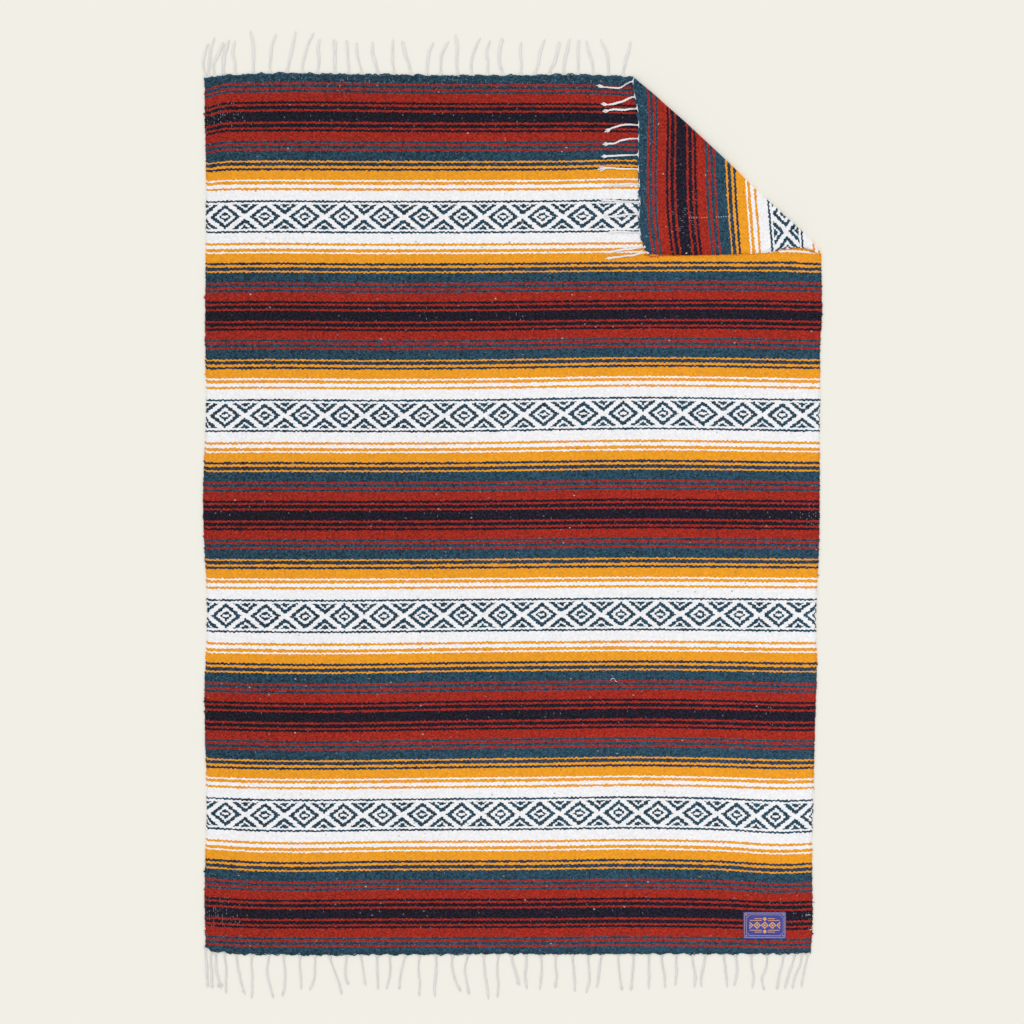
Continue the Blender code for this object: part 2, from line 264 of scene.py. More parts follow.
def cloth_mesh():
    """The cloth as one closed wall, cut across at the fold so that it turns there."""
    bm = bmesh.new()
    weave, picture = add_layers(bm)
    shares = bm.verts.layers.float_vector.new("shares")
    bmesh.ops.create_grid(bm, x_segments=CLOTH_COLUMNS, y_segments=CLOTH_ROWS, size=0.5)
    for vert in bm.verts:
        vert[shares] = vert.co + Vector((0.5, 0.5, 0))
        across, along = vert[shares].xy
        inward = [(share == 0) * low - (share == 1) * high
                  for share, (low, high) in zip((across, along), EDGE_IN)]
        vert.co = (on_cloth(across, along) + Vector(inward)).to_3d()
    for step in range(FOLD_STEPS + 1):
        cut = turn_start + fold_out * turn_length * step / FOLD_STEPS
        bmesh.ops.bisect_plane(
            bm, geom=bm.verts[:] + bm.edges[:] + bm.faces[:], dist=0.00001,
            plane_co=cut.to_3d(), plane_no=fold_out.to_3d(),
        )
    bmesh.ops.remove_doubles(bm, verts=bm.verts, dist=0.3 * MM)
    rim = {vert for vert in bm.verts if vert.is_boundary}
    wall = bmesh.ops.extrude_face_region(bm, geom=bm.faces[:])
    face_side = {item for item in wall["geom"] if isinstance(item, bmesh.types.BMVert)}
    rim_side = {vert for vert in face_side
                if any(edge.other_vert(vert) in rim for edge in vert.link_edges)}
    for vert in bm.verts:
        thick = EDGE_WALL if vert in rim or vert in rim_side else WALL
        vert.co = lay(vert.co.xy, thick / 2 if vert in face_side else -thick / 2)
    for face in bm.faces:
        on_rim = 0 < sum(vert in face_side for vert in face.verts) < len(face.verts)
        for loop in face.loops:
            across, along = loop.vert[shares].xy
            place = weft_place(across, along)
            if on_rim and loop.vert not in face_side:
                place += Vector((math.copysign(WALL, across - 0.5) * (across in (0, 1)),
                                 math.copysign(WALL, along - 0.5) * (along in (0, 1))))
            loop[weave].uv = place
            loop[picture].uv = unroll(place)
    bmesh.ops.recalc_face_normals(bm, faces=bm.faces)
    return bm


def new_object(name, data):
    """Object linked to the scene."""
    made = bpy.data.objects.new(name, data)
    bpy.context.scene.collection.objects.link(made)
    return made


def new_mesh(name, bm):
    """Mesh made from a bmesh, which is freed."""
    mesh = bpy.data.meshes.new(name)
    bm.to_mesh(mesh)
    bm.free()
    return mesh


def add_piece(name, bm, material):
    """Smooth piece made from a bmesh, riding on the blanket's one body."""
    mesh = new_mesh(name, bm)
    mesh.shade_smooth()
    mesh.materials.append(material)
    piece = new_object(name, mesh)
    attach(piece, "root")
    return piece


class Value:
    """What a material works out point by point: a number, a vector or a colour.

    Numbers take plain arithmetic, in which a comparison gives 1 or 0, and the other kinds of
    Math node by name.
    """

    def __init__(self, socket):
        self.socket = socket

    def by(self, operation, *others):
        """Result of a Math node."""
        return node("Math", dict(enumerate((self, *others))), operation=operation)

    def __rsub__(self, other):
        return node("Math", {0: other, 1: self}, operation="SUBTRACT")

    __add__ = __radd__ = partialmethod(by, "ADD")
    __sub__ = partialmethod(by, "SUBTRACT")
    __mul__ = __rmul__ = partialmethod(by, "MULTIPLY")
    __truediv__ = partialmethod(by, "DIVIDE")
    __pow__ = partialmethod(by, "POWER")
    __lt__ = partialmethod(by, "LESS_THAN")
    __gt__ = partialmethod(by, "GREATER_THAN")
    __abs__ = partialmethod(by, "ABSOLUTE")


def feed(socket, value):
    """Joins a worked-out value to a socket, or sets a plain one."""
    if isinstance(value, Value):
        socket.id_data.links.new(value.socket, socket)
    else:
        socket.default_value = value


def node(kind, sockets, output=0, tree=None, **settings):
    """Adds a node and returns one of its outputs. Its tree is that of a value it takes."""
    if tree is None:
        tree = next(v.socket.id_data for v in sockets.values() if isinstance(v, Value))
    made = tree.nodes.new("ShaderNode" + kind)
    for name, value in settings.items():
        setattr(made, name, value)
    for socket, value in sockets.items():
        feed(made.inputs[socket], value)
    return Value(made.outputs[output])


def mix(share, low, high):
    """Colour between two colours."""
    return node("Mix", {0: share, 6: low, 7: high}, output=2, data_type="RGBA")


def scaled(colour, light):
    """Colour made lighter or darker."""
    return node("VectorMath", {0: colour, "Scale": light}, operation="SCALE")


def ramp(value, stops):
    """Colour of the last stop that a value has reached."""
    made = node("ValToRGB", {0: value})
    colours = made.socket.node.color_ramp
    colours.interpolation = "CONSTANT"
    colours.elements.remove(colours.elements[1])
    for index, (at, colour) in enumerate(stops):
        stop = colours.elements.new(at) if index else colours.elements[0]
        stop.color = colour
    return made


def remap(value, start, end, low=0.0, high=1.0):
    """Number that goes from low to high while a value goes from start to end."""
    return node("MapRange", {"Value": value, "From Min": start, "From Max": end,
                             "To Min": low, "To Max": high})


def vector(x, y, z=0.0):
    """Vector from its parts."""
    return node("CombineXYZ", {0: x, 1: y, 2: z})


def split(place):
    """Parts of a vector."""
    return [Value(part) for part in node("SeparateXYZ", {0: place}).socket.node.outputs]


def new_group(name, inputs, outputs):
    """Empty node group. Returns it, the values it is given and the sockets to feed."""
    tree = bpy.data.node_groups.new(name, "ShaderNodeTree")
    for side, sockets in (("INPUT", inputs), ("OUTPUT", outputs)):
        for socket, kind in sockets.items():
            tree.interface.new_socket(name=socket, in_out=side, socket_type="NodeSocket" + kind)
    given = {socket.name: Value(socket) for socket in tree.nodes.new("NodeGroupInput").outputs}
    return tree, given, tree.nodes.new("NodeGroupOutput").inputs


def use_group(group, sockets):
    """Places a group among the values it takes, and returns its outputs by name."""
    made = node("Group", sockets, node_tree=group).socket.node
    return {socket.name: Value(socket) for socket in made.outputs}


def new_material(name, roughness, sheen, shine=0.15):
    """Cotton material. Returns it, its node tree and its shader's inputs."""
    material = bpy.data.materials.new(name)
    material.use_nodes = True
    shader = material.node_tree.nodes["Principled BSDF"].inputs
    for socket, value in (("Roughness", roughness), ("Specular IOR Level", shine),
                          ("Sheen Weight", sheen), ("Sheen Roughness", 0.6)):
        shader[socket].default_value = value
    return material, material.node_tree, shader


def add_bump(shader, height, deep):
    """Relief in a material's face, deep where height falls by 1."""
    bump = node("Bump", {"Height": height, "Distance": deep, "Strength": 1.0})
    feed(shader["Normal"], bump)


def dye(red, green, blue):
    """Linear colour with alpha from the usual 0 to 255 values."""
    parts = [value / 255 for value in (red, green, blue)]
    return (*[p / 12.92 if p <= 0.04045 else ((p + 0.055) / 1.055) ** 2.4 for p in parts], 1.0)


WHITE = dye(246, 245, 247)
YELLOW = dye(239, 158, 32)
NAVY = dye(40, 55, 78)
SLATE = dye(45, 62, 82)
TEAL = dye(38, 70, 88)
RED = dye(160, 38, 23)
BLACK = dye(24, 19, 36)

# Weft yarns from the middle of a black stripe to the middle of a diamond band, with their picks.
Stripe = namedtuple("Stripe", "yarn picks")
STRIPES = table(Stripe, [
    (BLACK, 5.05), (RED, 1.6), (BLACK, 3.55), (RED, 2.2), (BLACK, 2.1), (RED, 9), (TEAL, 2.3),
    (RED, 2.7), (TEAL, 3.1), (RED, 1.75), (TEAL, 10.15), (YELLOW, 1.75), (SLATE, 3.4),
    (YELLOW, 2.3), (NAVY, 2.5), (YELLOW, 9.1), (WHITE, 1.8), (YELLOW, 2.9), (WHITE, 3.65),
    (YELLOW, 2.2), (WHITE, 10.35), (TEAL, 2.05), (WHITE, 14.45),
])

# Diamond band: rings of teal on white round each diamond's middle. A step is a pick up, and a
# warp across counts as several.
DIAMOND_HALF = 9.14  # warps from a diamond's middle to where the next begins
WARP_STEPS = 1.75
BAND_REACH = 12.5  # picks from the band's middle to its last patterned row
RINGS = [(0, 5.2), (8.4, 12.5), (17.9, 22.1), (24.2, 40)]  # steps from the diamond's middle
EYE = (3.0, 1.3)  # steps and picks out to the rim of the white eye in the innermost ring

TOOTH = 0.24  # picks that a stripe's edge swings up and down from warp to warp
SLOT = 1.6  # picks that a gap between two warps stays open
SLOT_HALF = 0.17  # warps from a gap's middle to its side
FLECKS_FROM = 0.9945  # beads that draw more than this hold a stray fibre


def noise(x, y, detail=2.0):
    """Soft noise about 0 from a place on a grid of its own."""
    return node("TexNoise", {"Vector": vector(x, y), "Scale": 1.0, "Detail": detail},
                noise_dimensions="2D") - 0.5


def draw_one(spot, shift=0.0):
    """Random number from 0 to 1 for each whole spot."""
    moved = node("VectorMath", {0: spot, 1: (shift, 2 * shift, 0)}, operation="ADD")
    return node("TexWhiteNoise", {"Vector": moved}, noise_dimensions="2D")


def weave_group():
    """Weft-faced plain weave: the pick and warp at a place, its bead of yarn and its height."""
    tree, given, out = new_group(
        "plain weave", {"Place": "Vector", "Warp": "Float", "Pick": "Float"},
        {"Row": "Float", "Column": "Float", "Bead": "Vector", "Relief": "Float",
         "Slot": "Vector", "Split": "Float"},
    )
    x, y, _ = split(given["Place"])
    u = x / given["Warp"]
    v = y / given["Pick"]
    warp = u.by("ROUND")
    swing = (u * math.pi).by("COSINE")
    # Odd and even picks take turns to stand up over the warps between.
    lean = swing * 0.5
    off_even = abs((v + 0.5).by("FLOORED_MODULO", 2.0) - 1.0)
    even_high = lean - off_even ** 2.0
    odd_high = lean * -1.0 - (1.0 - off_even) ** 2.0
    even_row = ((v + 0.5) / 2.0).by("FLOOR") * 2.0 + 0.5
    odd_row = ((v - 0.5) / 2.0).by("FLOOR") * 2.0 + 1.5
    bead = vector(warp, (odd_row - even_row) * (odd_high > even_high) + even_row)
    feed(out["Bead"], bead)
    feed(out["Relief"], even_high.by("MAXIMUM", odd_high) + 0.5)
    # The yarn swings from warp to warp, wanders, and no bead sits quite like the next.
    tooth = (swing * (1.8 * TOOTH)).by("MAXIMUM", -TOOTH).by("MINIMUM", TOOTH)
    wander = noise(u / 2.3, v / 3.0) * 2.0
    seat = (draw_one(bead) - 0.5) * 0.3
    feed(out["Row"], v - tooth + wander + seat)
    # A pattern can only move on from one warp to the next, so its slopes go in small steps.
    astray = noise(v / 2.5, u / 3.0) * 1.2
    feed(out["Column"], warp * 0.7 + u * 0.3 + astray)
    # Between two warps the beads part here and there, for a pick or two.
    feed(out["Slot"], vector(u.by("FLOOR"), (v / SLOT).by("FLOOR")))
    feed(out["Split"], abs(u.by("FRACT") - 0.5) < SLOT_HALF)
    return tree


def chart_group():
    """Yarn colour at a pick and warp: the stripes, with the diamonds in their white bands."""
    tree, given, out = new_group("stripe chart", {"Row": "Float", "Column": "Float"},
                                 {"Color": "Color"})
    from_black = (given["Row"] - FIRST_BLACK).by("PINGPONG", HALF_REPEAT)
    starts = accumulate((stripe.picks for stripe in STRIPES), initial=0)
    stripes = ramp(from_black / HALF_REPEAT, [
        (start / HALF_REPEAT, stripe.yarn) for start, stripe in zip(starts, STRIPES)
    ])
    up = HALF_REPEAT - from_black
    aside = DIAMOND_HALF - given["Column"].by("PINGPONG", DIAMOND_HALF)
    steps = aside * WARP_STEPS + up
    on_ring = sum((steps > low) * (steps < high) for low, high in RINGS)
    eye = (steps < EYE[0]) * (up < EYE[1])
    feed(out["Color"], mix((on_ring - eye) * (up < BAND_REACH), stripes, TEAL))
    return tree


def mottle_group():
    """Uneven cotton: beads, tufts, streaks and columns a little lighter or darker.

    Show is how far the unevenness shows in a colour: most in dark yarn and least in white.
    """
    tree, given, out = new_group(
        "uneven cotton",
        {"Color": "Color", "Place": "Vector", "Bead": "Vector", "Amount": "Float"},
        {"Color": "Color", "Show": "Float"},
    )
    x, y, _ = split(given["Place"])
    warp, pick, _ = split(given["Bead"])
    total = sum(part * weight for part, weight in (
        (draw_one(given["Bead"], 31.0) - 0.5, 3.6),
        (noise(x / (2.3 * MM), y / (2.1 * MM)), 11.0),
        (noise(x / (7 * MM), y / (5 * MM), 3.0), 5.0),
        (noise(x / (16 * MM), pick * 3.7), 2.4),
        (noise(warp * 2.9, y / (45 * MM)), 1.8),
        (noise(x / (260 * MM), y / (260 * MM)), 1.5),
        # Over the whole cloth the colour grows lighter towards the right and towards the bottom.
        (x / WIDTH_TOP - 0.5, 1.1),
        (0.5 - y / LENGTH, 0.5),
    ))
    paleness = node("RGBToBW", {0: given["Color"]})
    brightest = node("SeparateColor", {0: given["Color"]}, output=2, mode="HSV")
    show = (paleness * -0.6 + 1.0) / (brightest * 5.0 + 1.0)
    feed(out["Show"], show)
    light = (total * (show * given["Amount"]) + 1.0).by("MAXIMUM", 0.3)
    # Lint of every colour lies in the nap and greys it here and there.
    lint = noise(y / (3 * MM), x / (4 * MM), 3.0) * 0.07 + 0.002
    linted = node("VectorMath", {0: scaled(given["Color"], light), 1: vector(lint, lint, lint)},
                  operation="ADD")
    feed(out["Color"], node("VectorMath", {0: linted, 1: (0.004, 0.004, 0.004)},
                            operation="MAXIMUM"))
    return tree


def fleck_group():
    """Stray bits of other fibre, caught here and there: pale in dark yarn and dark in pale."""
    tree, given, out = new_group(
        "stray fibre", {"Color": "Color", "Bead": "Vector", "Relief": "Float"}, {"Color": "Color"},
    )
    pale_fibre = ramp(draw_one(given["Bead"], 91.0), [
        (0, dye(190, 190, 190)), (0.45, dye(110, 135, 155)), (0.7, dye(200, 160, 90)),
        (0.82, dye(150, 140, 140)),
    ])
    paleness = node("RGBToBW", {0: given["Color"]})
    fibre = mix(paleness > 0.3, pale_fibre, dye(105, 95, 100))
    caught = (draw_one(given["Bead"], 617.0) > FLECKS_FROM) * (given["Relief"] > 0.55)
    shows = draw_one(given["Bead"], 307.0) ** 2.0 * 0.65 + 0.12
    feed(out["Color"], mix(caught * shows, given["Color"], fibre))
    return tree


plain_weave = weave_group()
stripe_chart = chart_group()
uneven_cotton = mottle_group()
stray_fibre = fleck_group()

# Where the white warp shows through dark yarn: by the selvedges, in a share of the slots.
Thin = namedtuple("Thin", "x y share")
THIN_SPOTS = table(Thin, [
    (12, 1640, 0.34), (14, 84, 0.4), (1205, 865, 0.2), (1205, 80, 0.12), (1140, 1620, 0.2),
])
THIN_FAR = 75 * MM
THIN_ANYWHERE = 0.012  # share of the slots far from those spots
END_THIN = (LENGTH - 30 * MM, LENGTH - 12 * MM)  # between these the share grows to END_SHARE
END_SHARE = 0.3
DOTTED_CORD = 1133 * MM  # across the cloth to a cord that shows as dots
DOTS_FROM, DOTS_TO, DOT_PITCH = 1532 * MM, 1632 * MM, 4.6 * MM
DOT_HALF = 1.1 * MM


def cloth_material():
    """Woven cotton with its stripes, its beads of weft and the odd stray fibre."""
    material, tree, shader = new_material("woven cotton", 0.92, 0.03)
    place = node("UVMap", {}, tree=tree, uv_map="weave")
    x, y, _ = split(place)
    woven = use_group(plain_weave, {"Place": place, "Warp": WARP, "Pick": PICK})
    chart = use_group(stripe_chart, {"Row": woven["Row"], "Column": woven["Column"]})
    yarn = use_group(uneven_cotton, {
        "Color": chart["Color"], "Place": place, "Bead": woven["Bead"], "Amount": 0.38,
    })
    colour = use_group(stray_fibre, {
        "Color": yarn["Color"], "Bead": woven["Bead"], "Relief": woven["Relief"],
    })["Color"]
    # The white warp shows in the slots of the darkest yarn, most of all where it is beaten least.
    loose = remap(y, *END_THIN, 0.0, END_SHARE).by("MAXIMUM", THIN_ANYWHERE)
    for spot in THIN_SPOTS:
        off_spot = node("VectorMath", {0: place, 1: (spot.x * MM, spot.y * MM, 0)},
                        output=1, operation="DISTANCE")
        loose = loose.by("MAXIMUM", remap(off_spot, 0.0, THIN_FAR, spot.share, 0.0))
    open_here = draw_one(woven["Slot"], 7.0) < loose * remap(yarn["Show"], 0.5, 0.92)
    grin = remap(draw_one(woven["Slot"], 23.0), 0.0, 1.0, 0.06, 0.42)
    colour = mix(woven["Split"] * open_here * grin, colour, dye(190, 195, 206))
    # One cord of the turned corner shows as a row of dots, pale or yellow.
    dots = y / DOT_PITCH
    dotted = (abs(x - DOTTED_CORD) < DOT_HALF) * (dots.by("FRACT") < 0.45)
    dotted *= (y > DOTS_FROM) * (y < DOTS_TO)
    dotted *= draw_one(vector(0.0, dots.by("FLOOR"))) > 0.4
    golden = node("SeparateColor", {0: chart["Color"]}).by("COMPARE", RED[0], 0.1)
    dot = mix(golden, dye(186, 196, 204), dye(206, 168, 60))
    colour = mix(dotted * 0.7, colour, dot)
    # Painted shade: the gaps between the beads are painted darker, most of all in dark yarn.
    painted_gap_shade = remap(woven["Relief"], 0.1, 0.7, -0.3, 0.0)
    feed(shader["Base Color"], scaled(colour, painted_gap_shade * yarn["Show"] + 1.0))
    fuzz = node("TexNoise", {"Vector": place, "Scale": 900.0, "Detail": 3.0},
                noise_dimensions="2D")
    add_bump(shader, fuzz * 0.8 + woven["Relief"], 0.4 * MM)
    return material


cloth = add_piece("striped_cloth", cloth_mesh(), cloth_material())
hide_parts("woven_panel")


# --- Selvedges --------------------------------------------------------------------------------
# Each pair of picks is one yarn that turns back round the outermost warp cord, so both sides of
# the cloth end in a row of small loops. They are drawn in unevenly, and a few stand proud.

YARN_SIDES = 6
LOOP_STEPS = 7
LOOP_RADIUS = 0.95 * MM
PROUD_SHARE = 0.05
LOOPS_IN = (2.3 * MM, 1.0 * MM)  # how far the left and right loops are drawn in


def yarn_template(steps, sides=YARN_SIDES):
    """Straight closed tube from x 0 to 1, one unit in radius."""
    bm = bmesh.new()
    bmesh.ops.create_grid(bm, x_segments=steps, y_segments=sides, size=0.5)
    for vert in bm.verts:
        angle = 2 * math.pi * (vert.co.y + 0.5)
        vert.co = Vector((vert.co.x + 0.5, math.cos(angle), math.sin(angle)))
    bmesh.ops.remove_doubles(bm, verts=bm.verts, dist=0.0001)
    bmesh.ops.holes_fill(bm, edges=[edge for edge in bm.edges if edge.is_boundary], sides=sides)
    bmesh.ops.recalc_face_normals(bm, faces=bm.faces)
    return new_mesh("yarn template", bm)


def add_yarn(bm, template, path, radius, flat=1.0):
    """Adds a yarn along path(share), radius(share) thick. Returns its verts with their shares."""
    first = len(bm.verts)
    bm.from_mesh(template)
    bm.verts.ensure_lookup_table()
    added = []
    for vert in bm.verts[first:]:
        share, sideways, up = vert.co
        ahead = path(min(share + 0.01, 1.0)) - path(max(share - 0.01, 0.0))
        side = Vector((ahead.y, -ahead.x, 0)).normalized()
        over = side.cross(ahead).normalized()
        vert.co = path(share) + (side * sideways + over * up * flat) * radius(share)
        added.append((vert, share))
    return added


def uneven(draw, length, pitch, size):
    """Smooth uneven line: a function of the way along, from knots a pitch apart."""
    knots = [draw.uniform(-size, size) for _ in range(int(length / pitch) + 3)]

    def value(at):
        cell, share = divmod(max(at, 0.0) / pitch, 1)
        start, end = knots[int(cell)], knots[int(cell) + 1]
        return start + (end - start) * ease(share)
    return value


def selvedge(side, seed):
    """Row of yarn loops down the left (0) or the right (1) side of the cloth."""
    draw = random.Random(seed)
    bm = bmesh.new()
    layers = add_layers(bm)
    rows = bm.verts.layers.float_vector.new("place")
    template = yarn_template(LOOP_STEPS)
    out = 1 if side else -1
    proud = uneven(draw, LENGTH, 11 * MM, 0.5)
    count = int(LENGTH / (2 * PICK))
    for index in range(count):
        middle = (index + 0.5) / count
        reach = (draw.uniform(-0.1, 1.4) + proud(index * 2 * PICK)) * MM
        if draw.random() < PROUD_SHARE:
            reach += draw.uniform(0.8, 2.6) * MM
        half = PICK * draw.uniform(0.5, 0.68)
        tilt = draw.choice((-1, 1)) * draw.uniform(0.2, 0.5) * MM

        def path(share):
            angle = math.pi * (share - 0.5)
            along = middle + half * math.sin(angle) / LENGTH
            place = on_cloth(side, min(max(along, 0.0), 1.0))
            place.x += out * (reach * math.cos(angle) - 1.1 * MM * (1 - math.cos(angle)))
            place.x -= out * LOOPS_IN[side]
            return lay(place, tilt * math.sin(angle))

        for vert, share in add_yarn(bm, template, path, lambda share: LOOP_RADIUS):
            along = middle + half * math.sin(math.pi * (share - 0.5)) / LENGTH
            vert[rows] = weft_place(side, min(max(along, 0.0), 1.0)).to_3d()
    write_places(bm, layers, rows)
    return bm


def grain(tree, scale):
    """Soft noise in a piece's own space."""
    spot = node("TexCoord", {}, output=3, tree=tree)
    return node("TexNoise", {"Vector": spot, "Scale": scale, "Detail": 2.0})


def yarn_material():
    """Soft weft yarn that turns at an edge, in the colour of its stripe."""
    material, tree, shader = new_material("turning yarn", 0.92, 0.03)
    place = node("UVMap", {}, tree=tree, uv_map="weave")
    row = split(place)[1] / PICK
    chart = use_group(stripe_chart, {"Row": row, "Column": 0.0})
    yarn = use_group(uneven_cotton, {
        "Color": chart["Color"], "Place": place, "Bead": vector(0.0, row.by("FLOOR")),
        "Amount": 0.4,
    })
    feed(shader["Base Color"], yarn["Color"])
    add_bump(shader, grain(tree, 1400.0), 0.3 * MM)
    return material


turning_yarn = yarn_material()
for name, side, seed in (("selvedge_left", 0, 11), ("selvedge_right", 1, 12)):
    loops = add_piece(name, selvedge(side, seed), turning_yarn)


# --- Fringe -----------------------------------------------------------------------------------
# The warp ends past the cloth, a dozen at a time drawn together at the edge and twisted into
# cotton cords. Their tips are cut and have frayed into soft tufts.

# Root is how far across the cloth a cord starts, and near, far and tip are how far it strays to
# the side a third, two thirds and all of the way along. Foot is a share of its threads' spread.
# The rest is in millimetres.
Strand = namedtuple("Strand", "root near far tip long tuft wide foot", defaults=(4.4, 3.8, 1))
TOP_STRANDS = table(Strand, [
    (4, -5, -3, 5, 64, 4, 4), (9, 1, 4, 12, 74, 4, 4.2), (21, -2, 8, 18, 63, 7, 4),
    (38, 0, 4, 12, 66, 4, 4.6, 2.2), (62, -2, -5, -1, 64), (97, 0, -1, -6, 81),
    (129, 1, 4, 12, 74), (163, 6, 11, 17, 79), (192, 4, 11, 23, 77), (222, 3, 1, 5, 65),
    (256, 0, 1, -1, 65, 9), (284, -2, -3, -4, 64, 7), (309, -5, -10, -10, 59),
    (341, -6, -11, -11, 61), (372, -3, -3, -2, 67), (406, -6, -14, -18, 64, 7),
    (436, 2, 5, 13, 62), (464, -1, 3, 14, 64), (496, -1, 0, -4, 77), (524, -1, 6, 17, 71),
    (555, 1, -2, 6, 66), (585, -7, -6, -1, 70, 9), (620, 1, -1, 1, 62), (647, 8, 12, 20, 67, 5),
    (676, 9, 15, 20, 62, 7), (704, 2, 7, 12, 68, 5), (732, 0, 0, 2, 66), (763, -3, -10, -15, 64),
    (792, -1, -5, -16, 67), (820, 4, 10, 15, 66),
])
CORNER_STRANDS = table(Strand, [
    (850, 13, 12, 8, 69, 5), (883, 9, 14, 14, 66, 6), (908, 1, 1, 5, 66, 6),
    (942, -1, 3, 14, 64, 6), (970, 1, 9, 11, 68, 7), (1003, 1, 2, 4, 70.5, 6),
    (1033, -1, -2, 0, 79, 8), (1064, 0, 2, 4, 69), (1101, -1, -2, -3, 75), (1127, 1, 5, 4, 67),
    (1165, -1, -1, 0, 61), (1196, 4, 7, 12, 80, 4.4, 3.8, 0.3),
    (1207, 6, 9, 13, 83.5, 4.4, 3.8, 0.2),
])
BOTTOM_STRANDS = table(Strand, [
    (1, 1, 3, 4, 74, 8, 4.6), (12, 0.5, 1.5, 2, 68, 8, 4.6), (21, 1, 4, 10, 68, 15, 4.2),
    (37.5, 4, 3.6, 4, 76, 6), (61.5, 4, 8.8, 17, 76, 5), (92, 0, 1, 0, 83, 5),
    (126, -4, 1, 9, 82, 6), (155, 2, 2, -3, 79, 5), (187, -1, 2, 2, 64, 4),
    (216, 0, -2, -11, 66, 5), (245, 9, 18, 24, 74, 5), (278, -2, -2, 4, 55, 7), (306, 4, 7, 9, 56),
    (338, 1, 1, 2, 64), (363, 1, -1, -7, 64, 4), (394, -7, -11, -12, 65, 7),
    (421, -2, 1, -1, 78, 5), (454, 0, -2, -3, 79, 5), (486, 0, 6, 17, 70, 7),
    (516, -6, -2, 3, 76, 7), (547, 2, 7, 10, 85), (576, -2, 0, -1, 83, 5),
    (602, 5, 10, 15, 57, 10), (631, 0, -2, 2, 65), (660, 2, 0, -2, 66), (689, 0, 2, -1, 63, 8),
    (722, 2, 4, 5, 70, 5), (752, 3, 3, -3, 72, 5), (779, -3, -6, -9, 62), (812, 1, 4, 8, 68, 7),
    (842, -1, -3, -5, 68, 7), (873, -1, -1, -1, 65, 5), (897, 3, 6, 8, 62), (926, 0, 0, -2, 58),
    (957, 3, 6, 5, 61), (983, -3, -8, -8, 61), (1020, 2, 4, 6, 61, 4), (1042, 4, 2, -3, 59, 5),
    (1074, 1, 4, 1, 63), (1105, -3, -11, -6, 68, 5), (1137, -5, -10, -13, 67, 7),
    (1159, -7, -14, -20, 64, 5), (1173, -5, -14, -19, 65, 5), (1185, -5, -10, -13, 63, 5),
])
ROOT_OUT = 2.9 * MM  # from the cloth's edge to where a strand starts
STRAND_HEIGHT = 1.5 * MM
FLOOR_GAP = 0.25 * MM
CORD_STEPS = 34
PLIES = 3
PLY_RADII = 4.3  # ply radii in a cord's width
PLY_OFF = 1.155  # ply radii from a cord's middle to a ply's
TWIST = 19 * MM  # length of one turn of the cord
ROOT_THREADS = 11
TIP_THREADS = 9
TIP_RADIUS = 0.55 * MM


def strand_middle(strand, share):
    """Middle of a strand at a share of its length: sideways shift and way out."""
    knots = [0, strand.near, strand.far, strand.tip]
    knots = [-knots[1] * 0.5, *knots, 2 * strand.tip - strand.far]
    span = min(int(share * 3), 2)
    t = share * 3 - span
    a, b, c, d = knots[span:span + 4]
    shift = b + t * (c - a) / 2 + t * t * (a - 2.5 * b + 2 * c - d / 2)
    shift += t * t * t * (1.5 * (b - c) + (d - a) / 2)
    return Vector((shift, strand.long * share)) * MM


def past_end(end, x, out):
    """Flat place out past the top end (1) or the bottom end (0) of the cloth."""
    width = WIDTH_TOP if end else WIDTH_BOTTOM
    return on_cloth(x / width, end) + Vector((0, out if end else -out))


